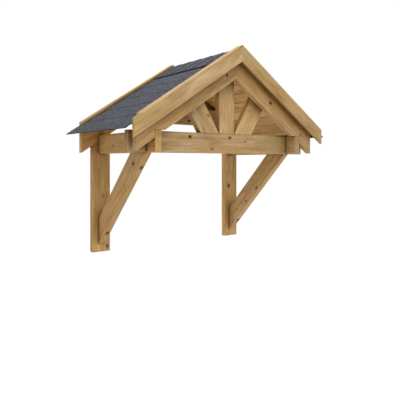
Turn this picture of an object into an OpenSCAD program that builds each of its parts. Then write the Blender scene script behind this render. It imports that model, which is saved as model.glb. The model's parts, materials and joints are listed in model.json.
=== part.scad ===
// Wall-hung timber porch canopy: two posts against the wall, each with an arm
// and a brace, carry a gabled roof of boards and felt with a king-post truss
// near its front.
//
// X runs along the wall, Y into the wall and Z up. The canopy is drawn about
// its middle plane with the foot of the posts at Z = 0, and then shifted so
// that the origin is the fixing point on the back face of the left post.

/* [Overall] */
// Distance between the centres of the two wall posts
post_spacing = 1340; // [1100:10:2000]
// How far the arms reach out from the wall
arm_reach = 886; // [800:2:1100]
// Height of the underside of the arms above the foot of the posts
arm_height = 768; // [700:1:1000]
// Roof pitch, in degrees
roof_pitch = 33; // [25:0.5:40]

/* [Wall posts] */
// Width of a wall post
post_w = 147; // [95:1:180]
// Thickness of a wall post, out from the wall
post_t = 50; // [40:1:75]
// Height of the fixing point above the foot of the post
fixing_height = 100; // [60:5:200]

/* [Arms and braces] */
// Depth of an arm
arm_w = 147; // [95:1:180]
// Thickness of an arm
arm_t = 50; // [40:1:75]
// Width of a brace
brace_w = 147; // [95:1:160]
// Thickness of a brace
brace_t = 50; // [40:1:75]
// Slope of a brace, in degrees from level
brace_angle = 45; // [40:1:48]
// Distance from the post out to the far edge of the brace, under the arm
brace_reach = 712; // [500:4:720]

/* [Truss] */
// Distance from the end of the arms back to the front of the tie beam
tie_setback = 106; // [60:2:200]
// Depth of the tie beam
tie_w = 147; // [95:1:147]
// Thickness of the tie beam, the king post and the struts
truss_t = 50; // [40:1:75]
// How far the tie beam runs on past the outer face of each arm
tie_stub = 138; // [0:2:180]
// Width of the king post
king_w = 147; // [95:1:180]
// Width of a strut
strut_w = 147; // [95:1:180]
// Slope of a strut, in degrees from level
strut_angle = 58; // [50:1:65]
// Gap between the king post and the foot of a strut
strut_gap = 1; // [0:1:20]

/* [Rafters] */
// Depth of a rafter, square to the roof
rafter_w = 147; // [95:1:180]
// Thickness of a rafter
rafter_t = 50; // [40:1:75]
// Level length of the seat cut into a front rafter over the arm
seat_length = 80; // [50:1:90]
// How far a rafter runs on past the outer face of the arm
rafter_tail = 138; // [60:2:180]
// Depth of the rear collar
collar_w = 147; // [95:1:180]
// Thickness of the rear collar
collar_t = 50; // [40:1:75]
// Height of the underside of the rear collar above the top of the arms
collar_lift = 116; // [60:1:140]
// Height left between the ends of the rear collar and the roof boards
collar_drop = 20; // [5:1:60]

/* [Roof covering] */
// Thickness of the roof boards
deck_t = 26; // [18:1:32]
// How far the roof boards run down past the end of the rafters
deck_eave = 15; // [0:5:60]
// How far the roof boards run out past the end of the arms
deck_nosing = 52; // [20:2:120]
// Thickness of the roofing felt
felt_t = 5; // [3:0.5:8]
// How far the felt runs on past the roof boards at the eaves
felt_eave = 77; // [20:1:90]
// How far the edge of the felt droops at the eaves
felt_droop = 4; // [0:1:20]
// Thickness of the ridge capping
ridge_t = 8; // [3:0.5:10]
// Width of each leg of the ridge capping, down the slope
ridge_leg = 230; // [120:5:300]

/* [Verge trim] */
// Depth of a barge board, square to the roof
barge_w = 100; // [60:5:145]
// Thickness of a barge board
barge_t = 20; // [16:1:28]
// How far a barge board runs down past the end of the rafters
barge_eave = 58; // [20:1:90]
// Width of a verge batten
batten_w = 55; // [40:1:100]
// Thickness of a verge batten
batten_t = 20; // [16:1:28]

/* [Fit] */
// Gap left at sloping seats and at the sides of halved joints
fit_gap = 0.3; // [0.1:0.1:1]

/* [Hidden] */
LEFT = -1;
RIGHT = 1;

rise = tan(roof_pitch);

// Places along the wall, measured out from the middle plane
post_x = post_spacing / 2;
arm_outer = post_x + arm_t / 2;
rafter_end = arm_outer + rafter_tail;
tie_end = arm_outer + tie_stub;
deck_end = rafter_end + deck_eave;
barge_end = rafter_end + barge_eave;

// Places out from the wall
arm_front = -arm_reach;
tie_front = arm_front + tie_setback;
tie_back = tie_front + truss_t;
deck_front = arm_front - deck_nosing;
barge_front = deck_front - barge_t;

// Heights of level faces
arm_top = arm_height + arm_w;
tie_bottom = arm_top - tie_w;
halving = arm_top - tie_w / 2;
collar_bottom = arm_top + collar_lift;
collar_top = collar_bottom + collar_w;

// Heights of the sloping faces where they meet the middle plane
rafter_under = arm_top + rise * (arm_outer - seat_length);
rafter_over = rafter_under + plumb(rafter_w);
deck_under = rafter_over + fit_gap;
deck_over = deck_under + plumb(deck_t);
felt_under = deck_over + fit_gap;
felt_over = felt_under + plumb(felt_t);
trim_under = felt_over + fit_gap;
trim_over = trim_under + plumb(batten_t);

SAWN = "#b08a58";
BOARD = "#a07c4c";
TRIM = "#c3a06c";
FELT = "#4a5058";

// Height of a sloping layer that is t thick square to the roof
function plumb(t) = t / cos(roof_pitch);

// Point at distance x from the middle plane on the slope that meets it at z
function on_slope(z, x) = [x, z - rise * x];

// Moves the canopy so that the fixing point of the left post is the origin
module placed() {
    translate([post_x, 0, -fixing_height]) children();
}

// Draws a piece for the right-hand side, or mirrors it to the left
module handed(side) {
    if (side == RIGHT) children();
    else mirror([1, 0, 0]) children();
}

// Extrudes a profile of X and Z from y_front back to y_back
module along_y(y_front, y_back) {
    translate([0, y_back, 0])
        rotate([90, 0, 0])
            linear_extrude(height = y_back - y_front) children();
}

// Extrudes a profile of Y and Z over a width t centred on x
module along_x(x, t) {
    translate([x - t / 2, 0, 0])
        rotate([90, 0, 90])
            linear_extrude(height = t) children();
}

// Sloping layer from the middle plane out to run, cut off plumb
module plumb_layer(z_under, t, run) {
    polygon([
        on_slope(z_under, 0),
        on_slope(z_under, run),
        on_slope(z_under + plumb(t), run),
        on_slope(z_under + plumb(t), 0),
    ]);
}

// Sloping layer from the middle plane out to run, cut off square to the roof
module square_layer(z_under, t, run) {
    lower = on_slope(z_under, run);
    polygon([
        on_slope(z_under, 0),
        lower,
        lower + t * [sin(roof_pitch), cos(roof_pitch)],
        on_slope(z_under + plumb(t), 0),
    ]);
}

// Everything under the slope that meets the middle plane at z
module below_slope(z) {
    far = rafter_end;
    polygon([
        on_slope(z, far),
        [0, z],
        [-far, z - rise * far],
        [-far, 0],
        [far, 0],
    ]);
}

module wall_post(side) {
    color(SAWN) placed() handed(side) along_y(-post_t, 0) intersection() {
        translate([post_x - post_w / 2, 0]) square([post_w, rafter_under]);
        below_slope(rafter_under - fit_gap);
    }
}

module arm(side) {
    color(SAWN) placed() handed(side) difference() {
        along_x(post_x, arm_t)
            translate([arm_front, arm_height]) square([arm_reach - post_t, arm_w]);
        along_x(post_x, 2 * arm_t)
            translate([tie_front - fit_gap, halving])
                square([truss_t + 2 * fit_gap, arm_w]);
    }
}

module brace(side) {
    foot = arm_height - brace_reach * tan(brace_angle);
    color(SAWN) placed() handed(side) along_x(post_x, brace_t) polygon([
        [-post_t, foot],
        [-post_t, foot + brace_w / cos(brace_angle)],
        [-post_t - brace_reach + brace_w / sin(brace_angle), arm_height],
        [-post_t - brace_reach, arm_height],
    ]);
}

module front_tie_beam() {
    color(SAWN) placed() along_y(tie_front, tie_back) difference() {
        translate([-tie_end, tie_bottom]) square([2 * tie_end, tie_w]);
        for (side = [LEFT, RIGHT])
            translate([side * post_x - arm_t / 2 - fit_gap, tie_bottom - tie_w / 2])
                square([arm_t + 2 * fit_gap, tie_w]);
    }
}

module king_post() {
    color(SAWN) placed() along_y(tie_front, tie_back) intersection() {
        translate([-king_w / 2, arm_top]) square([king_w, rafter_over - arm_top]);
        below_slope(rafter_over);
    }
}

module strut(side) {
    inner = king_w / 2 + strut_gap;
    outer = inner + strut_w / sin(strut_angle);
    height = rafter_over - arm_top;
    lean = height / tan(strut_angle);
    color(SAWN) placed() handed(side) along_y(tie_front, tie_back) intersection() {
        polygon([
            [inner, arm_top],
            [outer, arm_top],
            [outer + lean, arm_top + height],
            [inner + lean, arm_top + height],
        ]);
        below_slope(rafter_over);
    }
}

module front_rafter(side) {
    color(SAWN) placed() handed(side)
        along_y(arm_front, arm_front + rafter_t) difference() {
            plumb_layer(rafter_under, rafter_w, rafter_end);
            square([arm_outer + fit_gap, arm_top]);
        }
}

module rear_rafter(side) {
    color(SAWN) placed() handed(side)
        along_y(-rafter_t, 0) plumb_layer(rafter_under, rafter_w, rafter_end);
}

module rear_collar() {
    color(SAWN) placed()
        along_y(-rafter_t - collar_t, -rafter_t) intersection() {
            translate([-rafter_end, collar_bottom]) square([2 * rafter_end, collar_w]);
            below_slope(deck_under - collar_drop);
        }
}

module roof_boards(side) {
    color(BOARD) placed() handed(side)
        along_y(deck_front, 0) square_layer(deck_under, deck_t, deck_end);
}

// The felt lies flat on the boards and droops where it runs on past them
module roof_felt(side) {
    bend = deck_end + deck_t * sin(roof_pitch);
    edge = on_slope(felt_under, bend + felt_eave) - [0, felt_droop];
    color(FELT) placed() handed(side) along_y(deck_front, 0) polygon([
        on_slope(felt_under, 0),
        on_slope(felt_under, bend),
        edge,
        edge + [0, plumb(felt_t)],
        on_slope(felt_over, bend),
        on_slope(felt_over, 0),
    ]);
}

module ridge_capping() {
    edge = on_slope(trim_under, ridge_leg * cos(roof_pitch));
    lip = ridge_t * [sin(roof_pitch), cos(roof_pitch)];
    color(FELT) placed()
        along_y(deck_front + batten_w + fit_gap, -batten_w - fit_gap) polygon([
            [0, trim_under],
            edge,
            edge + lip,
            [0, trim_under + plumb(ridge_t)],
            [-edge[0] - lip[0], edge[1] + lip[1]],
            [-edge[0], edge[1]],
        ]);
}

module barge_board(side) {
    color(TRIM) placed() handed(side)
        along_y(barge_front, deck_front)
            plumb_layer(trim_over - plumb(barge_w), barge_w, barge_end);
}

// The battens lie on the felt and end in line with the rafters
module verge_batten(side, y_front) {
    color(TRIM) placed() handed(side)
        along_y(y_front, y_front + batten_w)
            plumb_layer(trim_under, batten_t, rafter_end);
}

wall_post(LEFT);  // left_wall_post
wall_post(RIGHT);  // right_wall_post
arm(LEFT);  // left_arm
arm(RIGHT);  // right_arm
brace(LEFT);  // left_brace
brace(RIGHT);  // right_brace
front_tie_beam();
king_post();
strut(LEFT);  // left_strut
strut(RIGHT);  // right_strut
front_rafter(LEFT);  // left_front_rafter
front_rafter(RIGHT);  // right_front_rafter
rear_rafter(LEFT);  // left_rear_rafter
rear_rafter(RIGHT);  // right_rear_rafter
rear_collar();
roof_boards(LEFT);  // left_roof_boards
roof_boards(RIGHT);  // right_roof_boards
roof_felt(LEFT);  // left_roof_felt
roof_felt(RIGHT);  // right_roof_felt
ridge_capping();
barge_board(LEFT);  // left_barge_board
barge_board(RIGHT);  // right_barge_board
verge_batten(LEFT, deck_front);  // left_front_batten
verge_batten(RIGHT, deck_front);  // right_front_batten
verge_batten(LEFT, -batten_w);  // left_rear_batten
verge_batten(RIGHT, -batten_w);  // right_rear_batten
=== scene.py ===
"""Looks for a wall-hung porch canopy: planed pine timbers, matchboards under the
roof, courses of slated felt and folded ridge pieces."""

import json
import math
import random

import bmesh
import bpy
from mathutils import Euler, Matrix, Vector


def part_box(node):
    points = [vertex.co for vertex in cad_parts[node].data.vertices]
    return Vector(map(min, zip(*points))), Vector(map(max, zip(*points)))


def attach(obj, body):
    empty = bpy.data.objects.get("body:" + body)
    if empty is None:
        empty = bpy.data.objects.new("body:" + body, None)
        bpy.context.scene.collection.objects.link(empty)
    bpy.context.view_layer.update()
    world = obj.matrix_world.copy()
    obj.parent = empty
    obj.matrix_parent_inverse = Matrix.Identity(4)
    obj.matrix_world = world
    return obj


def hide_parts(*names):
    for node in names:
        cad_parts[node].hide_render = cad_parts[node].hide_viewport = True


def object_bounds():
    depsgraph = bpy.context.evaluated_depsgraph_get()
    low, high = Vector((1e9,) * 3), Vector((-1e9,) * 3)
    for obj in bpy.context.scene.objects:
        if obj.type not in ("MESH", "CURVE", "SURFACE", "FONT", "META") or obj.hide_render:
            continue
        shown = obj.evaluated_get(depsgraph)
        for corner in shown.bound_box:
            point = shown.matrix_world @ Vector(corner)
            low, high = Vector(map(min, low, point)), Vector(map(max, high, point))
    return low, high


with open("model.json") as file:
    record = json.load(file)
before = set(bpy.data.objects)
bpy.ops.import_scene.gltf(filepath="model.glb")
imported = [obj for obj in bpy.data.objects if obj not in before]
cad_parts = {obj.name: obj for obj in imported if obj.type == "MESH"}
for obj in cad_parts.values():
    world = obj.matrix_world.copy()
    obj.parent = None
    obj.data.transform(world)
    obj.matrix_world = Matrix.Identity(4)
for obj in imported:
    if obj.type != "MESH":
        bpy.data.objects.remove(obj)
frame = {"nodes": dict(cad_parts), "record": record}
cad_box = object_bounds()

MM = 0.001

# ---------------------------------------------------------------- sizes, in metres

EASED = 3.0 * MM          # round on the corners of the frame timbers
EASED_TRIM = 1.6 * MM     # and on the thinner trim
WELD = 0.02 * MM          # points of a copied mesh nearer than this are one

BOARD_COVER = 112 * MM    # width that one roof board covers
BOARD_GAP = 0.8 * MM      # left between two boards
BOARD_V = 3.5 * MM        # V joint planed on the boards' lower edges
FIRST_CUT = 0.45          # share of the top board that is sawn off at the ridge
NARROWEST = 20 * MM       # no board is sawn narrower than this
TONGUE = 6.0 * MM
TONGUE_LOW = 9.5 * MM     # height of the tongue above the boards' underside
TONGUE_HIGH = 15.0 * MM
TONGUE_TAPER = 0.6 * MM   # taken off each side of the tongue's tip
GROOVE_PLAY = 0.4 * MM    # room for the tongue above and below it in the groove
GROOVE_DEPTH = 6.5 * MM

FELT_THICK = 2.2 * MM     # one layer of felt
FELT_BED = 0.3 * MM       # between the boards and the felt
COURSE = 177 * MM         # how much of each course shows
COURSE_PLAY = 1.5 * MM    # how unevenly the courses are laid
CREASE_PLAY = 0.3 * MM    # and how unevenly their creases lie
HEAD_LAP = 60 * MM        # how far a course runs up under the next one
STARTER = 150 * MM        # width of the strip under the lowest course
STARTER_THICK = FELT_THICK * 0.9
STARTER_BACK = 1 * MM     # it ends this far short of the course over it
STARTER_LIFT = FELT_THICK * 0.95    # how far it lifts that course
RIDGE_GAP = 4 * MM        # felt stops this short of the ridge
TOP_COURSE = 50 * MM      # no course ends nearer to the ridge than this
TURN_DOWN = 20 * MM       # felt is creased this far inside the boards' lower edge
EAVE_MARGIN = 5.0 * MM    # felt is cut this far inside the canopy's outline
EAVE_SAG = 3.2 * MM       # how far the free edge of the felt hangs
EAVE_RIPPLE = 1.4 * MM    # and how unevenly
END_GAP = 0.5 * MM        # felt stops this short of the roof's front and back

RIDGE_THICK = 4.5 * MM    # one layer of the heavier ridge felt
RIDGE_LIFT = 5.0 * MM     # how far a piece's front edge stands off the one before
RIDGE_SHOWN = 142 * MM    # how much of each ridge piece shows
RIDGE_LAP = 45 * MM       # how far it runs back under the next one
RIDGE_PLAY = 3.0 * MM     # how unevenly the ridge pieces are laid
RIDGE_MARGIN = 3.0 * MM   # a ridge piece's legs end this far inside the outline
LEG_PLAY = 1.5 * MM       # how unevenly its legs are cut
SHORTEST_PIECE = 5.0 * MM    # that is worth laying at the wall
RIDGE_ROUND = 7 * MM      # the fold over the ridge

DROP_TO_GROUND = 1.33     # from the foot of the posts down to the doorstep

# ---------------------------------------------------------------- shader helpers

# Places of inputs and outputs that share a name with another on their node.
MIX_FACTOR, MIX_A, MIX_B, MIX_RESULT = 0, 6, 7, 2
VALUE, LOW, HIGH, TO_LOW, TO_HIGH = 0, 1, 2, 3, 4    # of a Map Range


def linear(code):
    """Linear red, green, blue and alpha of an sRGB hex colour."""
    parts = [int(code[i:i + 2], 16) / 255 for i in (1, 3, 5)]
    return [p / 12.92 if p <= 0.04045 else ((p + 0.055) / 1.055) ** 2.4 for p in parts] + [1]


def put(tree, kind, wires=None, out=0, stops=(), **settings):
    """Adds a node with its settings, wires or sets its inputs and returns one output."""
    made = tree.nodes.new("ShaderNode" + kind)
    for name, value in settings.items():
        setattr(made, name, value)
    for place, (at, code) in enumerate(stops):
        ramp = made.color_ramp.elements
        stop = ramp[place] if place < len(ramp) else ramp.new(at)
        stop.position, stop.color = at, linear(code)
    for name, value in (wires or {}).items():
        if isinstance(value, bpy.types.NodeSocket):
            tree.links.new(value, made.inputs[name])
        else:
            made.inputs[name].default_value = value
    return made.outputs[out]


def new_material(name):
    """An empty material, its node tree and its Principled shader."""
    material = bpy.data.materials.new(name)
    material.use_nodes = True
    tree = material.node_tree
    return material, tree, tree.nodes["Principled BSDF"]


def coated(tree, colour, coats):
    """The colour under coats laid on in turn: how much, what colour, how it mixes."""
    for amount, coat, way in coats:
        shade = linear(coat) if isinstance(coat, str) else coat
        colour = put(tree, "Mix", {MIX_FACTOR: amount, MIX_A: colour, MIX_B: shade},
                     out=MIX_RESULT, data_type="RGBA", blend_type=way)
    return colour


# ---------------------------------------------------------------- planed pine

# Treated softwood, planed: honey-brown with a trace of green from the treatment.
# The eye sees pale early wood against browner late wood, in arches on the wide faces
# and in lines on the edges, and small dark knots that the grain parts around. Shade is
# painted into the colour too: dark brown in the joints and a brown tint near other parts.
EARLY_WOOD = "#AB916E"
LATE_WOOD = "#8F7142"
HONEY = "#9E7940"
OLIVE = "#847B4D"
BROWN = "#785B31"
PALE = "#BFA680"
KNOT_HALO = "#66441D"
KNOT_CORE = "#3C240F"
KNOT_BARK = "#1A0E06"
# painted shade: dark brown laid into joints and inside corners, where light is shut out
PAINTED_JOINT_SHADE = "#3C290E"
PAINTED_SHADE_TINT = "#C9A968"      # painted shade: a brown tint on wood that other parts stand near, as shade darkens it
SHADED_STICK_TINT = "#FFE6BF"        # painted shade: tints browner the sticks that stand in shade, as shade deepens wood's colour
WORN_EDGE = "#C2A67A"

RING_WIDTH = 5.5 * MM      # one year's growth
UNEVEN_YEARS = 2.5         # how many rings' width good and bad years shift them
HEART_SWAY = 45 * MM       # how far the tree's heart wanders along a stick
JOINT_SHADE_REACH = 20 * MM      # how far the painted joint shade reaches out of a joint
SHADE_TINT_REACH = 130 * MM   # how near something has to be for the painted shade tint
WEAR_STARTS = 4 * MM       # a corner is paler from this far off
WEAR_FULL = 1 * MM         # and palest from here
WORN_MOST = 0.14           # how much paler a worn corner gets
END_FADES, END_MOST = (0.35, 0.5), 0.10         # by how squarely a face cuts the fibres
SHADE_TINT_FADES, SHADE_TINT_MOST = (0.95, 0.35), 0.75    # by the share of open air around
JOINT_SHADE_FADES, JOINT_SHADE_MOST = (0.90, 0.42), 0.85
AIR_SAMPLES = 8            # rays that measure the open air
FIBRE_SPAN = 0.3, 0.7      # the noise from a dull fibre to a bright one
FIBRE_LIGHT = 0.90, 1.10
FIBRE_ROUGH = 0.62, 0.78
FIBRE_RELIEF = 0.4 * MM
LATE_PROUD, CRACK_DEPTH = 0.25, -3.0            # in shares of that relief
PINE_IOR, PINE_GLOSS = 1.45, 0.15
# How dark a ring is from its spring to the year's end.
SEASONS = (0.0, "#000000"), (0.45, "#2A2A2A"), (0.86, "#E0E0E0"), (1.0, "#000000")
MARK_SEEDS_APART = 5.3     # so that no two kinds of mark fall together

# A knot, by distance from its middle in radii.
KNOT_LONG = 0.75           # how much slower that distance grows along the fibres
NO_KNOT = 30.0             # a distance at which nothing of a knot is left
CORE_FADES = 1.35, 0.85    # from clear wood to the dark core
HALO_FADES = 2.8, 0.9      # and to the brown around it
HALO_FAINTEST, HALO_GAIN = 0.15, 0.45    # how brown, and more so round a dark knot
GRAIN_PARTS = 0.3, 4.5     # where the grain bends most and where it is straight again
GRAIN_PULL = -0.7          # draws the pattern in towards a knot, so it parts there

# Small knots scattered over a stick.
STRAYS_PER_METRE = 6.0
STRAY_SMALLEST, STRAY_LARGEST = 3 * MM, 8 * MM
PIP_FADES, PIP_DARK = (1.2, 0.7), 0.7
PIP_HALO_FADES, PIP_HALO = (2.6, 0.9), 0.4

# Marks along the fibres: how many a metre along, across and through, their colour,
# the noise between which they come up, and how strong they get.
MARKS = (
    ((0.9, 26, 26), BROWN, 0.48, 0.70, 0.60),
    ((1.6, 7, 7), HONEY, 0.42, 0.68, 0.65),
    ((2.2, 9, 9), OLIVE, 0.46, 0.72, 0.55),
    ((5.0, 16, 16), BROWN, 0.50, 0.74, 0.60),
    ((3.0, 60, 60), BROWN, 0.52, 0.72, 0.35),
    ((8, 75, 75), LATE_WOOD, 0.50, 0.64, 0.42),
    ((5, 50, 50), PALE, 0.52, 0.68, 0.32),
)

# Other patterns along the fibres, also in marks a metre.
FIBRES = (14, 330, 330)
HEART_WANDERS = (1.5, 5, 5)
CRACKS = (3.0, 55, 55)
CRACKED_PATCHES = (1.1, 12, 12)
CRACK_WIDTH = 0.012        # in the noise that draws the cracks
PATCH_FADES = 0.60, 0.68   # in the noise that says where the wood has cracked


def drawn_out(tree, source, seed, stretch, detail=2.0, roughness=0.5, out=0):
    """Noise whose marks are drawn out along the fibres: stretch is marks a metre."""
    placed = put(tree, "Mapping",
                 {0: source, 1: (seed, seed * 0.7, seed * 0.3), 3: stretch})
    return put(tree, "TexNoise", {"Vector": placed, "Scale": 1.0, "Detail": detail,
                                  "Roughness": roughness}, out=out)


def knots_at(tree, grain, knots):
    """Where the listed knots are: radii from the nearest, how dark they make the
    wood, how brown they make it around them, and the grain bent to pass them."""
    nearest, dark, around, bent = NO_KNOT, 0.0, 0.0, grain
    soft = dict(interpolation_type="SMOOTHSTEP")
    for along, across, through, radius, depth in knots:
        offset = put(tree, "VectorMath", {0: grain, 1: (along, across, through or 0)},
                     operation="SUBTRACT")
        inwards = 0 if through is None else 1 / radius
        per_radius = (KNOT_LONG / radius, 1 / radius, inwards)
        flat = put(tree, "VectorMath", {0: offset, 1: per_radius}, operation="MULTIPLY")
        radii = put(tree, "VectorMath", {0: flat}, out="Value", operation="LENGTH")
        core = put(tree, "MapRange", {VALUE: radii, LOW: CORE_FADES[0], HIGH: CORE_FADES[1],
                                      TO_LOW: 0.0, TO_HIGH: depth}, **soft)
        halo = put(tree, "MapRange", {VALUE: radii, LOW: HALO_FADES[0], HIGH: HALO_FADES[1],
                                      TO_LOW: 0.0,
                                      TO_HIGH: HALO_FAINTEST + HALO_GAIN * depth}, **soft)
        pull = put(tree, "MapRange", {VALUE: radii, LOW: GRAIN_PARTS[0],
                                      HIGH: GRAIN_PARTS[1],
                                      TO_LOW: GRAIN_PULL, TO_HIGH: 0.0}, **soft)
        shift = put(tree, "VectorMath", {0: offset, "Scale": pull}, operation="SCALE")
        bent = put(tree, "VectorMath", {0: bent, 1: shift}, operation="ADD")
        nearest = put(tree, "Math", {0: nearest, 1: radii}, operation="MINIMUM")
        dark = put(tree, "Math", {0: dark, 1: core}, operation="MAXIMUM")
        around = put(tree, "Math", {0: around, 1: halo}, operation="MAXIMUM")
    return nearest, dark, around, bent


def stray_knots(tree, grain, share):
    """Small knots in a share of the places where one could be, as radii from them."""
    cells = dict(voronoi_dimensions="2D", distance="EUCLIDEAN")
    place = {"Vector": grain, "Scale": STRAYS_PER_METRE}
    away = put(tree, "TexVoronoi", place, **cells)
    tint = put(tree, "TexVoronoi", place, out="Color", **cells)
    chance = put(tree, "SeparateColor", {0: tint}, out="Red")
    size = put(tree, "SeparateColor", {0: tint}, out="Green")
    radius = put(tree, "MapRange", {VALUE: size,
                                    TO_LOW: STRAY_SMALLEST * STRAYS_PER_METRE,
                                    TO_HIGH: STRAY_LARGEST * STRAYS_PER_METRE})
    radii = put(tree, "Math", {0: away, 1: radius}, operation="DIVIDE")
    absent = put(tree, "Math", {0: chance, 1: share}, operation="GREATER_THAN")
    far = put(tree, "Math", {0: absent, 1: NO_KNOT}, operation="MULTIPLY")
    return put(tree, "Math", {0: radii, 1: far}, operation="ADD")


def all_knots(tree, grain, knots, share):
    """The listed and the stray knots together, given as knots_at gives them."""
    nearest, dark, around, bent = knots_at(tree, grain, knots)
    small = stray_knots(tree, grain, share)
    pip = put(tree, "MapRange", {VALUE: small, LOW: PIP_FADES[0], HIGH: PIP_FADES[1],
                                 TO_LOW: 0.0, TO_HIGH: PIP_DARK},
              interpolation_type="SMOOTHSTEP")
    ring = put(tree, "MapRange", {VALUE: small, LOW: PIP_HALO_FADES[0],
                                  HIGH: PIP_HALO_FADES[1], TO_LOW: 0.0, TO_HIGH: PIP_HALO},
               interpolation_type="SMOOTHSTEP")
    dark = put(tree, "Math", {0: dark, 1: pip}, operation="MAXIMUM")
    around = put(tree, "Math", {0: around, 1: ring}, operation="MAXIMUM")
    nearest = put(tree, "Math", {0: nearest, 1: small}, operation="MINIMUM")
    return nearest, dark, around, bent


def growth_rings(tree, grain, heart, seed):
    """How much of each year's dark late wood shows, 0 to 1, about the tree's heart."""
    sway = drawn_out(tree, grain, seed, HEART_WANDERS, out="Color")
    sway = put(tree, "VectorMath", {0: sway, 1: (0.5, 0.5, 0.5)}, operation="SUBTRACT")
    sway = put(tree, "VectorMath", {0: sway, "Scale": HEART_SWAY}, operation="SCALE")
    swayed = put(tree, "VectorMath", {0: grain, 1: sway}, operation="ADD")
    from_heart = put(tree, "VectorMath", {0: swayed, 1: heart}, operation="SUBTRACT")
    from_heart = put(tree, "VectorMath", {0: from_heart, 1: (0, 1, 1)},
                     operation="MULTIPLY")
    radius = put(tree, "VectorMath", {0: from_heart}, out="Value", operation="LENGTH")
    years = put(tree, "Math", {0: radius, 1: 1 / RING_WIDTH}, operation="MULTIPLY")
    uneven = put(tree, "TexNoise", {"W": years, "Scale": 0.35, "Detail": 1.0},
                 noise_dimensions="1D")
    years = put(tree, "Math", {0: uneven, 1: UNEVEN_YEARS, 2: years},
                operation="MULTIPLY_ADD")
    season = put(tree, "Math", {0: years}, operation="FRACT")
    return put(tree, "ValToRGB", {0: season}, stops=SEASONS)


def drying_checks(tree, grain, seed):
    """Short hair cracks along the fibres, 1 in a crack and 0 elsewhere."""
    rift = drawn_out(tree, grain, seed, CRACKS, detail=1.0)
    rift = put(tree, "Math", {0: rift, 1: 0.5}, operation="SUBTRACT")
    rift = put(tree, "Math", {0: rift}, operation="ABSOLUTE")
    rift = put(tree, "MapRange", {VALUE: rift, LOW: 0.0, HIGH: CRACK_WIDTH,
                                  TO_LOW: 1.0, TO_HIGH: 0.0})
    where = drawn_out(tree, grain, seed, CRACKED_PATCHES, detail=0.0)
    where = put(tree, "MapRange", {VALUE: where, LOW: PATCH_FADES[0],
                                   HIGH: PATCH_FADES[1]})
    return put(tree, "Math", {0: rift, 1: where}, operation="MULTIPLY")


def clear_wood(tree, grain, late, fibre, seed):
    """Colour of this stick's wood without knots: rings, then marks along the fibres,
    then how light the stick is and the painted shade brown of a stick in shade."""
    tone = put(tree, "Attribute", out="Vector", attribute_name="tone")
    lightness = put(tree, "SeparateXYZ", {0: tone}, out="X")
    shade_brown_share = put(tree, "SeparateXYZ", {0: tone}, out="Y")
    coats = [(late, LATE_WOOD, "MIX")]
    for turn, (stretch, code, low, high, strength) in enumerate(MARKS):
        patch = drawn_out(tree, grain, seed + MARK_SEEDS_APART * turn, stretch,
                          detail=3.0)
        amount = put(tree, "MapRange", {VALUE: patch, LOW: low, HIGH: high,
                                        TO_LOW: 0.0, TO_HIGH: strength})
        coats.append((amount, code, "MIX"))
    colour = coated(tree, linear(EARLY_WOOD), coats)
    light = put(tree, "MapRange", {VALUE: fibre, LOW: FIBRE_SPAN[0], HIGH: FIBRE_SPAN[1],
                                   TO_LOW: FIBRE_LIGHT[0], TO_HIGH: FIBRE_LIGHT[1]})
    light = put(tree, "Math", {0: light, 1: lightness}, operation="MULTIPLY")
    colour = put(tree, "HueSaturation", {"Color": colour, "Value": light})
    # painted shade: a stick that stands in shade is tinted browner, as shade deepens its
    # colour
    return coated(tree, colour, [(shade_brown_share, SHADED_STICK_TINT, "MULTIPLY")])


def wear_and_painted_shade(tree, grain, run, to_corner):
    """Coats for worn corners and end grain, and painted shade: a brown tint where other
    parts stand near and dark brown in the joints, both from how much of the wood's
    surroundings is open air."""
    corner = put(tree, "VectorMath", {0: grain}, operation="ABSOLUTE")
    corner = put(tree, "VectorMath", {0: corner, 1: (0, 1, 1)}, out="Value",
                 operation="DOT_PRODUCT")
    worn = put(tree, "MapRange", {VALUE: corner, LOW: to_corner - WEAR_STARTS,
                                  HIGH: to_corner - WEAR_FULL,
                                  TO_LOW: 0.0, TO_HIGH: WORN_MOST})
    facing = put(tree, "NewGeometry", out="Normal")
    end = put(tree, "VectorMath", {0: facing, 1: run}, out="Value",
              operation="DOT_PRODUCT")
    end = put(tree, "Math", {0: end}, operation="ABSOLUTE")
    end = put(tree, "MapRange", {VALUE: end, LOW: END_FADES[0], HIGH: END_FADES[1],
                                 TO_LOW: 0.0, TO_HIGH: END_MOST})
    # painted shade: the less open air around the wood, the browner its tint, as under the
    # roof and beside other parts
    air = put(tree, "AmbientOcclusion", {"Distance": SHADE_TINT_REACH}, out="AO",
              samples=AIR_SAMPLES)
    shade_tint = put(tree, "MapRange", {VALUE: air, LOW: SHADE_TINT_FADES[0],
                                     HIGH: SHADE_TINT_FADES[1],
                                     TO_LOW: 0.0, TO_HIGH: SHADE_TINT_MOST})
    # painted shade: dark brown in the joints and inside corners, where light is shut out
    crevice = put(tree, "AmbientOcclusion", {"Distance": JOINT_SHADE_REACH}, out="AO",
                  samples=AIR_SAMPLES)
    joint_shade = put(tree, "MapRange", {VALUE: crevice, LOW: JOINT_SHADE_FADES[0],
                                   HIGH: JOINT_SHADE_FADES[1],
                                   TO_LOW: 0.0, TO_HIGH: JOINT_SHADE_MOST})
    return [(worn, WORN_EDGE, "MIX"), (end, KNOT_HALO, "MIX"),
            (shade_tint, PAINTED_SHADE_TINT, "MULTIPLY"), (joint_shade, PAINTED_JOINT_SHADE, "MIX")]


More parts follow.
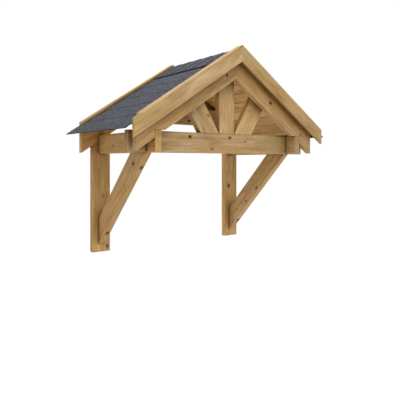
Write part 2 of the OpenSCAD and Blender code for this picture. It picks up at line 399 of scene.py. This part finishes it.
def planed_pine(name, run, half_width, half_thick, strays, seed, knots=()):
    """Pine for a piece whose fibres follow run. The mesh carries the place in the
    piece as "grain", the tree's heart as "heart", and how light the stick is and how
    much painted shade brown it takes as "tone"."""
    material, tree, shader = new_material(name)
    grain = put(tree, "Attribute", out="Vector", attribute_name="grain")
    heart = put(tree, "Attribute", out="Vector", attribute_name="heart")
    radii, dark, around, bent = all_knots(tree, grain, knots, strays)
    late = growth_rings(tree, bent, heart, seed)
    fibre = drawn_out(tree, bent, seed, FIBRES, roughness=0.7)
    crack = drying_checks(tree, bent, seed)
    heartwood = put(tree, "ValToRGB", {0: radii}, stops=[
        (0.0, KNOT_CORE), (0.35, KNOT_BARK), (0.6, KNOT_CORE), (0.95, KNOT_BARK)])

    coats = [(crack, KNOT_HALO, "MIX")]
    coats += wear_and_painted_shade(tree, grain, run, half_width + half_thick)
    coats += [(around, KNOT_HALO, "MIX"), (dark, heartwood, "MIX")]
    colour = coated(tree, clear_wood(tree, bent, late, fibre, seed), coats)
    tree.links.new(colour, shader.inputs["Base Color"])

    # planed surface: matt, late wood a little proud, cracks sunk
    rough = put(tree, "MapRange", {VALUE: fibre, LOW: FIBRE_SPAN[0], HIGH: FIBRE_SPAN[1],
                                   TO_LOW: FIBRE_ROUGH[0], TO_HIGH: FIBRE_ROUGH[1]})
    tree.links.new(rough, shader.inputs["Roughness"])
    height = put(tree, "Math", {0: late, 1: LATE_PROUD, 2: fibre},
                 operation="MULTIPLY_ADD")
    height = put(tree, "Math", {0: crack, 1: CRACK_DEPTH, 2: height},
                 operation="MULTIPLY_ADD")
    bump = put(tree, "Bump", {"Height": height, "Strength": 0.5, "Distance": FIBRE_RELIEF})
    tree.links.new(bump, shader.inputs["Normal"])
    shader.inputs["IOR"].default_value = PINE_IOR
    shader.inputs["Specular IOR Level"].default_value = PINE_GLOSS
    return material


# ---------------------------------------------------------------- slated felt

# Bitumen felt faced with crushed slate: matt blue-grey grit, black where it is cut.
SLATE_MID = "#3A3C42"
SLATE_BLUE = "#333846"
SLATE_GREEN = "#393C3B"
SLATE_PALE = "#66686E"
SLATE_DARK = "#191A1E"
BITUMEN = "#101114"
BITUMEN_DUSTY = "#24262A"
GRIT = 4.0 * MM            # real grit is 1 to 2 mm; drawn coarser so that it shows
GRIT_RELIEF = 1.0 * MM
CLUMP = 20 * MM            # grit lies in clumps about this wide
CLUMP_SPAN, CLUMP_LIGHT = (0.40, 0.60), (0.60, 1.40)
BLOTCHES_PER_METRE = 7.0   # of grit lying thicker or thinner over a sheet
BLOTCH_SPAN, BLOTCH_LIGHT = (0.35, 0.65), (0.93, 1.07)
SMEARS_PER_METRE = 60.0    # on the bitumen


def slated_felt(name):
    """Grey grit of mixed colours, with soft blotches where it lies thick or thin."""
    material, tree, shader = new_material(name)
    place = put(tree, "TexCoord", out="Object")
    cells = put(tree, "TexVoronoi", {"Vector": place, "Scale": 1 / GRIT}, out="Color")
    pick = put(tree, "SeparateColor", {0: cells}, out="Red")
    grit = put(tree, "ValToRGB", {0: pick}, stops=[
        (0.0, SLATE_DARK), (0.25, SLATE_MID), (0.5, SLATE_BLUE), (0.7, SLATE_GREEN),
        (0.85, SLATE_MID), (1.0, SLATE_PALE)])
    clump = put(tree, "TexNoise", {"Vector": place, "Scale": 1 / CLUMP, "Detail": 4.0,
                                   "Roughness": 0.65})
    light = put(tree, "MapRange", {VALUE: clump, LOW: CLUMP_SPAN[0], HIGH: CLUMP_SPAN[1],
                                   TO_LOW: CLUMP_LIGHT[0], TO_HIGH: CLUMP_LIGHT[1]})
    blotch = put(tree, "TexNoise", {"Vector": place, "Scale": BLOTCHES_PER_METRE,
                                    "Detail": 3.0})
    change = put(tree, "MapRange", {VALUE: blotch, LOW: BLOTCH_SPAN[0],
                                    HIGH: BLOTCH_SPAN[1],
                                    TO_LOW: BLOTCH_LIGHT[0], TO_HIGH: BLOTCH_LIGHT[1]})
    light = put(tree, "Math", {0: light, 1: change}, operation="MULTIPLY")
    colour = put(tree, "HueSaturation", {"Color": grit, "Value": light})
    tree.links.new(colour, shader.inputs["Base Color"])
    away = put(tree, "TexVoronoi", {"Vector": place, "Scale": 1 / GRIT})
    bump = put(tree, "Bump", {"Height": away, "Strength": 0.6, "Distance": GRIT_RELIEF},
               invert=True)
    tree.links.new(bump, shader.inputs["Normal"])
    shader.inputs["Roughness"].default_value = 0.95
    shader.inputs["Specular IOR Level"].default_value = 0.2
    return material


def bitumen(name):
    """The black cut edge and back of the felt, smooth but dull."""
    material, tree, shader = new_material(name)
    place = put(tree, "TexCoord", out="Object")
    smear = put(tree, "TexNoise", {"Vector": place, "Scale": SMEARS_PER_METRE,
                                   "Detail": 3.0})
    colour = put(tree, "ValToRGB", {0: smear},
                 stops=[(0.3, BITUMEN), (0.8, BITUMEN_DUSTY)])
    tree.links.new(colour, shader.inputs["Base Color"])
    rough = put(tree, "MapRange", {VALUE: smear, TO_LOW: 0.7, TO_HIGH: 0.9})
    tree.links.new(rough, shader.inputs["Roughness"])
    shader.inputs["Specular IOR Level"].default_value = 0.05
    return material


# ---------------------------------------------------------------- making pieces

FLAT, SHARP = math.radians(1), math.radians(10)    # between two faces
MIDDLE_OF_ROOF = (cad_box[0].x + cad_box[1].x) / 2
FROM_THE_WALL = Vector((0, -1, 0))
OUTWARDS = Vector((0.1, -0.5, 1.0))    # a piece is measured from its low or wall end
TO_THE_FRONT = Vector((-0.3, -1.0, -0.1))    # the way a piece's better face looks


def cad_copy(node):
    """A merged copy of a CAD node's mesh, its flat faces made whole again."""
    bm = bmesh.new()
    bm.from_mesh(frame["nodes"][node].data)
    bmesh.ops.remove_doubles(bm, verts=bm.verts, dist=WELD)
    bmesh.ops.dissolve_limit(bm, angle_limit=FLAT, verts=bm.verts, edges=bm.edges)
    bm.normal_update()
    return bm


def run_and_thickness(bm):
    """Directions of the fibres and through the thickness of a straight piece."""
    longest = max(bm.edges, key=lambda e: e.calc_length())
    run = (longest.verts[1].co - longest.verts[0].co).normalized()
    through = max(bm.faces, key=lambda f: f.calc_area()).normal.copy()
    if run.dot(OUTWARDS) < 0:
        run.negate()
    if through.dot(TO_THE_FRONT) < 0:
        through.negate()
    return run, through


def lay_grain(bm, run, through, heart, lighter, shade_browning, shift=0.0):
    """Writes where each point lies in the stick: along from its low end, across and
    through from its middle. Returns the stick's length, width and thickness."""
    place = bm.verts.layers.float_vector.new("grain")
    centre = bm.verts.layers.float_vector.new("heart")
    tone = bm.verts.layers.float_vector.new("tone")
    across = through.cross(run)
    lows, sizes = [], []
    for axis in (run, across, through):
        reach = [v.co.dot(axis) for v in bm.verts]
        lows.append(min(reach))
        sizes.append(max(reach) - min(reach))
    for v in bm.verts:
        v[place] = (v.co.dot(run) - lows[0] + shift,
                    v.co.dot(across) - lows[1] - sizes[1] / 2,
                    v.co.dot(through) - lows[2] - sizes[2] / 2)
        v[centre] = (0, heart[0], heart[1])
        v[tone] = (1 + lighter, shade_browning, 0)
    return sizes


def on_middle(point):
    """Whether a point lies in the roof's middle plane."""
    return abs(point.x - MIDDLE_OF_ROOF) < 1 * MM


def ease(bm, radius):
    """Rounds every outer corner of the piece but those of a mitre at the ridge."""
    corners = [e for e in bm.edges
               if len(e.link_faces) == 2 and e.calc_face_angle(0) > SHARP
               and e.is_convex and not all(on_middle(v.co) for v in e.verts)]
    bmesh.ops.bevel(bm, geom=corners, offset=radius, offset_type="OFFSET", segments=2,
                    profile=0.5, affect="EDGES", clamp_overlap=True, material=-1)


def join(whole, bm):
    """Adds bm's mesh to whole and lets bm go."""
    scrap = bpy.data.meshes.new("part")
    bm.to_mesh(scrap)
    bm.free()
    whole.from_mesh(scrap)
    bpy.data.meshes.remove(scrap)


def finished(bm, name, materials, slot, *stands_for):
    """Turns a bmesh into a piece that rides on the canopy for its CAD nodes."""
    mesh = bpy.data.meshes.new(name)
    bm.to_mesh(mesh)
    bm.free()
    for material in materials:
        mesh.materials.append(material)
    piece = bpy.data.objects.new(name, mesh)
    bpy.context.scene.collection.objects.link(piece)
    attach(piece, "root")
    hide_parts(*stands_for)


# ---------------------------------------------------------------- timbers

DEAD, LIVE, FAINT = 1.0, 0.75, 0.30    # how dark a knot is
TIMBER_STRAYS, BOARD_STRAYS = 0.02, 0.5    # share of places with a stray knot
FIRST_SEED, SEEDS_APART, BOARD_SEED = 1.7, 3.1, 70.0    # of each stick's pattern

# Each timber's knots: millimetres from its low or wall end, millimetres from its
# middle line, the knot's width and how dark it is. A knot in a narrow face has its
# place through the thickness too. Then the tree's heart, in millimetres from the
# timber's middle, how much lighter than usual the timber is, and how much painted
# shade brown it takes, a browner tint on the sticks that stand in shade.
TIMBERS = {
    "left_wall_post": ([(39, -50, 17, LIVE), (440, -13, 14, FAINT)],
                       (20, 95), 0.08, 0.60),
    "right_wall_post": ([(477, 26, 17, DEAD), (607, 17, 12, FAINT)],
                        (-25, 90), 0.12, 0.40),
    "left_arm": ([(240, -17, 14, FAINT), (610, 30, 12, FAINT)], (-40, 80), 0.16, 0.55),
    "right_arm": ([(229, 49, 15, FAINT), (127, -23, 14, FAINT)], (30, 85), -0.06, 0.0),
    "left_brace": ([(837, -9, 16, DEAD), (633, -28, 15, FAINT), (331, -60, 10, FAINT),
                    (143, -73, 20, DEAD, 0), (862, -73, 20, LIVE, -4)],
                   (-15, 100), -0.02, 0.40),
    "right_brace": ([(224, -15, 14, FAINT), (100, -49, 15, FAINT), (373, -39, 15, LIVE),
                     (560, -47, 14, DEAD), (143, -73, 18, DEAD, 0), (241, 66, 13, LIVE),
                     (648, 49, 12, FAINT)],
                    (30, 90), -0.04, 0.40),
    "front_tie_beam": ([(490, 43, 16, DEAD), (862, 45, 14, DEAD), (690, -42, 16, FAINT),
                        (1020, 21, 10, FAINT)], (-60, 75), -0.08, 0.05),
    "king_post": ([(296, 73, 11, FAINT, 5)], (0, 60), 0.12, 0.10),
    "left_strut": ([(164, -54, 9, LIVE)], (40, 70), 0.05, 0.0),
    "right_strut": ([(240, 40, 8, FAINT)], (-20, 60), 0.26, 0.0),
    "left_front_rafter": ([(929, -12, 13, DEAD), (380, 22, 10, FAINT)],
                          (35, 85), -0.02, 0.10),
    "right_front_rafter": ([(611, 5, 15, DEAD), (187, 10, 14, FAINT)],
                           (-30, 90), 0.03, 0.25),
    "left_rear_rafter": ([(210, 25, 16, LIVE), (540, -20, 18, DEAD),
                          (820, 10, 12, LIVE)], (10, 95), 0.40, 0.60),
    "right_rear_rafter": ([(160, -15, 15, LIVE), (455, 30, 17, DEAD),
                           (700, -35, 12, FAINT)], (15, 80), 0.20, 0.50),
    "rear_collar": ([(816, -39, 17, DEAD), (300, 20, 14, LIVE), (1130, 5, 18, DEAD)],
                    (-30, 85), 0.05, 0.50),
    "left_barge_board": ([], (-15, 45), -0.02, 0.0),
    "right_barge_board": ([(233, -40, 8, FAINT)], (20, 50), -0.06, 0.20),
    "left_front_batten": ([], (8, 40), 0.10, 0.0),
    "right_front_batten": ([], (-8, 40), 0.05, 0.10),
    "left_rear_batten": ([(420, 10, 9, FAINT)], (8, 40), 0.10, 0.0),
    "right_rear_batten": ([(640, -12, 9, LIVE)], (-8, 45), 0.05, 0.0),
}
SLOTS = {s["node"]: s["material_slot"] for s in frame["record"]["subparts"]}


def make_timber(node, order):
    """Replaces a CAD timber by one with eased corners and its own stick of pine."""
    knots, heart, lighter, shade_browning = TIMBERS[node]
    bm = cad_copy(node)
    run, through = run_and_thickness(bm)
    slot = SLOTS[node]
    _, width, thick = lay_grain(bm, run, through, [h * MM for h in heart],
                                lighter, shade_browning)
    ease(bm, EASED_TRIM if slot == "trim_wood" else EASED)
    placed = [(along * MM, across * MM, inside[0] * MM if inside else None,
               size / 2 * MM, dark) for along, across, size, dark, *inside in knots]
    pine = planed_pine("planed_pine_" + node, run, width / 2, thick / 2, TIMBER_STRAYS,
                       seed=FIRST_SEED + SEEDS_APART * order, knots=placed)
    finished(bm, "eased_" + node, [pine], slot, node)


for order, node in enumerate(TIMBERS):
    make_timber(node, order)


# ---------------------------------------------------------------- roof planes

class Slope:
    """One side of the roof. side is -1 on the left and 1 on the right; down is the
    way that water runs and out is square to the roof."""

    def __init__(self, side, name):
        self.side, self.name = side, name
        bm = cad_copy(name + "_roof_boards")
        widest = sorted(bm.faces, key=lambda f: f.calc_area())[-2:]
        under, top = sorted(widest, key=lambda f: f.normal.z)
        self.out = top.normal.copy()
        self.down = self.out.cross(FROM_THE_WALL) * side
        self.top = top.calc_center_median()
        self.under = under.calc_center_median()
        bm.free()
        low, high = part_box(name + "_roof_boards")
        self.front, self.back = low.y, high.y
        self.middle = high.x if side < 0 else low.x
        self.board_thick = (self.top - self.under).dot(self.out)
        flat_width = high.x - low.x - self.board_thick * abs(self.out.x)
        self.length = flat_width / abs(self.down.x)

    def frame_at(self, point):
        """Matrix whose X runs down the slope, Y into the wall and Z out of the roof.
        Its origin is at the wall, where the slope through point meets the middle."""
        reach = (self.middle - point.x) / self.down.x
        origin = point + self.down * reach
        origin.y = 0
        into = -FROM_THE_WALL
        return Matrix((
            (self.down.x, into.x, self.out.x, origin.x),
            (self.down.y, into.y, self.out.y, origin.y),
            (self.down.z, into.z, self.out.z, origin.z),
            (0, 0, 0, 1)))


LEFT = Slope(-1, "left")
RIGHT = Slope(1, "right")


def keep_side(bm, slope):
    """Cuts away what passes the middle plane, and closes the cut."""
    cut = bmesh.ops.bisect_plane(
        bm, geom=bm.verts[:] + bm.edges[:] + bm.faces[:], dist=0.001 * MM,
        plane_co=(slope.middle, 0, 0), plane_no=(-slope.side, 0, 0), clear_outer=True)
    edges = [g for g in cut["geom_cut"] if isinstance(g, bmesh.types.BMEdge)]
    bmesh.ops.holes_fill(bm, edges=edges)


# ---------------------------------------------------------------- roof boards

def board_outline(start, thick, last_edge):
    """Section of a matchboard from start down the slope: groove, face and tongue."""
    end = min(start + BOARD_COVER, last_edge) - BOARD_GAP
    groove = start + GROOVE_DEPTH
    groove_low, groove_high = TONGUE_LOW - GROOVE_PLAY, TONGUE_HIGH + GROOVE_PLAY
    outline = [(start + BOARD_V, 0), (start, BOARD_V), (start, groove_low),
               (groove, groove_low), (groove, groove_high), (start, groove_high),
               (start, thick), (end, thick)]
    if start + BOARD_COVER < last_edge:
        tip = end + TONGUE
        outline += [(end, TONGUE_HIGH), (tip, TONGUE_HIGH - TONGUE_TAPER),
                    (tip, TONGUE_LOW + TONGUE_TAPER), (end, TONGUE_LOW)]
    return outline + [(end, BOARD_V), (end - BOARD_V, 0)]


def make_roof_boards(slope, seed):
    """The boards of one slope, each its own stick, planed and grooved."""
    rng = random.Random(seed)
    whole = bmesh.new()
    place = slope.frame_at(slope.under)
    start = -BOARD_COVER * FIRST_CUT
    while slope.length - start >= NARROWEST:
        bm = bmesh.new()
        front = slope.front + rng.uniform(0.0, 1.5) * MM
        section = [bm.verts.new((s, front, h))
                   for s, h in board_outline(start, slope.board_thick, slope.length)]
        face = bm.faces.new(section)
        grown = bmesh.ops.extrude_face_region(bm, geom=[face])
        tips = [g for g in grown["geom"] if isinstance(g, bmesh.types.BMVert)]
        bmesh.ops.translate(bm, verts=tips, vec=(0, slope.back - front, 0))
        bmesh.ops.transform(bm, matrix=place, verts=bm.verts)
        bmesh.ops.recalc_face_normals(bm, faces=bm.faces)
        keep_side(bm, slope)
        heart = rng.uniform(-50, 50) * MM, rng.uniform(40, 90) * MM
        # painted shade: each board under the roof is tinted browner, by a random share
        lighter, shade_browning = rng.uniform(0.25, 0.65), rng.uniform(0.3, 0.7)
        lay_grain(bm, FROM_THE_WALL, -slope.out, heart, lighter, shade_browning,
                  shift=rng.uniform(0, 40))
        join(whole, bm)
        start += BOARD_COVER
    bmesh.ops.recalc_face_normals(whole, faces=whole.faces)
    pine = planed_pine("planed_pine_matchboard_" + slope.name, FROM_THE_WALL,
                       BOARD_COVER / 2, slope.board_thick / 2, BOARD_STRAYS,
                       seed=BOARD_SEED + seed)
    finished(whole, slope.name + "_matchboards", [pine], "board_wood",
             slope.name + "_roof_boards")


make_roof_boards(LEFT, 11)
make_roof_boards(RIGHT, 12)


# ---------------------------------------------------------------- felt courses

FELT = slated_felt("slated_felt")
CUT_FELT = bitumen("bitumen_cut_edge")
SLATED_SIDE = 0.6          # a face that looks up by more than this is slated
FELT_CREASES = 34          # squares along a course, for its slight waves
EAVE_CREASES = 5           # squares across the hanging edge


def spread(low, high, count):
    """Evenly spaced numbers from low to high, count steps apart."""
    return [low + (high - low) * i / count for i in range(count + 1)]


def slate_top(bm):
    """Slates the faces that look up, and leaves the edges and the back black."""
    for face in bm.faces:
        face.material_index = 0 if face.normal.z > SLATED_SIDE else 1


def add_sheet(whole, rows, columns, height, thick):
    """Adds a closed sheet of felt: rows are places down the slope, columns places
    into the wall, and height(s, y) is how far its underside lies off the boards."""
    bm = bmesh.new()
    bmesh.ops.create_grid(bm, x_segments=len(rows) - 1, y_segments=len(columns) - 1,
                          size=0.5)
    for v in bm.verts:
        row = round((v.co.x + 0.5) * (len(rows) - 1))
        column = round((v.co.y + 0.5) * (len(columns) - 1))
        v.co = Vector((rows[row], columns[column], height(rows[row], columns[column])))
    grown = bmesh.ops.extrude_face_region(bm, geom=bm.faces[:])
    lifted = [g for g in grown["geom"] if isinstance(g, bmesh.types.BMVert)]
    bmesh.ops.translate(bm, verts=lifted, vec=(0, 0, thick))
    bmesh.ops.recalc_face_normals(bm, faces=bm.faces)
    slate_top(bm)
    join(whole, bm)


def make_felt(slope, seed):
    """Courses laid from the eave up, each lapping the one below it."""
    rng = random.Random(seed)
    whole = bmesh.new()
    place = slope.frame_at(slope.top + slope.out * FELT_BED)
    to_slope = place.inverted()
    bm = cad_copy(slope.name + "_roof_felt")
    eave = max((to_slope @ v.co).x for v in bm.verts) - EAVE_MARGIN
    bm.free()
    columns = spread(slope.front + END_GAP, slope.back - END_GAP, FELT_CREASES)
    crease = slope.length - TURN_DOWN
    waves = [(rng.uniform(5, 9), rng.uniform(0, 6.28), rng.uniform(0.5, 1.0))
             for _ in range(3)]

    def sag(s, y):
        """The free edge hangs a little and is never quite straight."""
        free = max(0.0, (s - slope.length) / (eave - slope.length))
        ripple = sum(a * math.sin(f * y * 2 + p) for f, p, a in waves) / len(waves)
        return -free ** 2 * (EAVE_SAG + EAVE_RIPPLE * ripple)

    lower = eave
    while lower > TOP_COURSE:
        lowest = lower == eave
        upper = max(lower - COURSE - HEAD_LAP, RIDGE_GAP)
        lift = STARTER_LIFT if lowest else FELT_THICK

        def height(s, y):
            """The course climbs over the one below it, and hangs past the boards."""
            return lift * (s - upper) / (lower - upper) + sag(s, y)

        rows = [upper, (upper + lower) / 2, lower]
        if lowest:
            rows = [upper, crease] + spread(slope.length, lower, EAVE_CREASES)
        cut = [c + rng.uniform(-CREASE_PLAY, CREASE_PLAY) for c in columns]
        cut[0], cut[-1] = columns[0], columns[-1]
        add_sheet(whole, rows, cut, height, FELT_THICK)
        if lowest:
            starter = [eave - STARTER, crease]
            starter += spread(slope.length, eave - STARTER_BACK, EAVE_CREASES)
            add_sheet(whole, starter, columns, sag, STARTER_THICK)
        lower -= COURSE + rng.uniform(-COURSE_PLAY, COURSE_PLAY)
    bmesh.ops.transform(whole, matrix=place, verts=whole.verts)
    bmesh.ops.recalc_face_normals(whole, faces=whole.faces)
    finished(whole, slope.name + "_felt_courses", [FELT, CUT_FELT], "roofing_felt",
             slope.name + "_roof_felt")


make_felt(LEFT, 21)
make_felt(RIGHT, 22)


# ---------------------------------------------------------------- ridge pieces

FOLD_STEPS = 6             # flats that make the round fold


def ridge_piece(start, stop, leg, slant, fold_top):
    """One piece of felt folded over the ridge, from start back to stop, with its
    front edge lifted: leg is the width of each side and slant the roof's pitch."""
    bm = bmesh.new()
    drop = RIDGE_ROUND / math.cos(slant)
    fold = [(-RIDGE_ROUND * math.sin(a), fold_top - drop + RIDGE_ROUND * math.cos(a))
            for a in spread(slant, -slant, FOLD_STEPS)]
    reach, foot = leg * math.cos(slant), fold_top - leg * math.sin(slant)
    section = [(-reach, foot)] + fold + [(reach, foot)]
    verts = [bm.verts.new((MIDDLE_OF_ROOF + x, start, z)) for x, z in section]
    edges = [bm.edges.new(pair) for pair in zip(verts, verts[1:])]
    grown = bmesh.ops.extrude_edge_only(bm, edges=edges)
    back = [g for g in grown["geom"] if isinstance(g, bmesh.types.BMVert)]
    bmesh.ops.translate(bm, verts=back, vec=(0, stop - start, 0))
    bmesh.ops.translate(bm, verts=verts, vec=(0, 0, RIDGE_LIFT))
    grown = bmesh.ops.extrude_face_region(bm, geom=bm.faces[:])
    lifted = [g for g in grown["geom"] if isinstance(g, bmesh.types.BMVert)]
    bmesh.ops.translate(bm, verts=lifted, vec=(0, 0, RIDGE_THICK))
    bmesh.ops.recalc_face_normals(bm, faces=bm.faces)
    slate_top(bm)
    return bm


def make_ridge():
    """Pieces of felt folded over the ridge, lapped from the front to the wall."""
    rng = random.Random(31)
    low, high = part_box("ridge_capping")
    bm = cad_copy("ridge_capping")
    fold_top = min(v.co.z for v in bm.verts if on_middle(v.co))
    bm.free()
    slant = math.atan2(-LEFT.down.z, -LEFT.down.x)
    leg = (high.x - low.x) / 2 / math.cos(slant) - RIDGE_MARGIN
    starts = []
    front = low.y + END_GAP
    while front < high.y - SHORTEST_PIECE:
        starts.append(front)
        front += RIDGE_SHOWN + rng.uniform(-RIDGE_PLAY, RIDGE_PLAY)
    whole = bmesh.new()
    for start in starts:
        stop = min(start + RIDGE_SHOWN + RIDGE_LAP, high.y - END_GAP)
        cut = leg + rng.uniform(-LEG_PLAY, LEG_PLAY)
        join(whole, ridge_piece(start, stop, cut, slant, fold_top))
    finished(whole, "ridge_pieces", [FELT, CUT_FELT], "roofing_felt", "ridge_capping")


make_ridge()


# ---------------------------------------------------------------- camera, floor, light

CAMERA_PLACE = (-1.6461, -3.5070, 0.6108)
CAMERA_TURN = -38.43       # degrees about the upright
LENS = 42.78               # millimetres
SHIFT_ACROSS, SHIFT_UP = -0.0275, -0.0973

FLOOR_REACH = 60           # from the middle of the floor to its edges
KEY_PLACE, KEY_SIZE, KEY_WATTS = (-1.5, -5.2, 3.0), 2.5, 90
OVERHEAD_PLACE, OVERHEAD_SIZE, OVERHEAD_WATTS = (0.4, -1.0, 4.2), 3.0, 110
WHITE = "#FFFFFF"


def make_camera():
    """Level camera to the left of the canopy and in front of it."""
    data = bpy.data.cameras.new("camera")
    data.lens = LENS
    data.shift_x = SHIFT_ACROSS
    data.shift_y = SHIFT_UP
    camera = bpy.data.objects.new("camera", data)
    camera.location = CAMERA_PLACE
    camera.rotation_euler = Euler((math.radians(90), 0, math.radians(CAMERA_TURN)))
    bpy.context.scene.collection.objects.link(camera)
    bpy.context.scene.camera = camera


def make_floor():
    """A plain white floor, as far below as a doorstep is."""
    bm = bmesh.new()
    bmesh.ops.create_grid(bm, x_segments=1, y_segments=1, size=FLOOR_REACH)
    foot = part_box("left_wall_post")[0].z
    bmesh.ops.translate(bm, verts=bm.verts, vec=(0, 0, foot - DROP_TO_GROUND))
    mesh = bpy.data.meshes.new("floor")
    bm.to_mesh(mesh)
    bm.free()
    white, _, shader = new_material("white_floor")
    shader.inputs["Base Color"].default_value = linear(WHITE)
    shader.inputs["Roughness"].default_value = 0.9
    shader.inputs["Specular IOR Level"].default_value = 0.0
    mesh.materials.append(white)
    floor = bpy.data.objects.new("floor", mesh)
    bpy.context.scene.collection.objects.link(floor)


def make_softbox(name, place, aim, size, watts):
    """A square lamp at place that faces aim."""
    data = bpy.data.lights.new(name, "AREA")
    data.size = size
    data.energy = watts
    lamp = bpy.data.objects.new(name, data)
    lamp.location = place
    lamp.rotation_euler = (aim - Vector(place)).to_track_quat("-Z", "Y").to_euler()
    bpy.context.scene.collection.objects.link(lamp)


def make_light():
    """White surroundings, with softboxes above and to the front left."""
    world = bpy.data.worlds.new("white_room")
    world.use_nodes = True
    background = world.node_tree.nodes["Background"]
    background.inputs["Color"].default_value = linear(WHITE)
    background.inputs["Strength"].default_value = 1.0
    bpy.context.scene.world = world
    bpy.context.scene.view_settings.view_transform = "Standard"
    centre = (cad_box[0] + cad_box[1]) / 2
    make_softbox("key", KEY_PLACE, centre, KEY_SIZE, KEY_WATTS)
    make_softbox("overhead", OVERHEAD_PLACE, centre, OVERHEAD_SIZE, OVERHEAD_WATTS)


make_camera()
make_floor()
make_light()
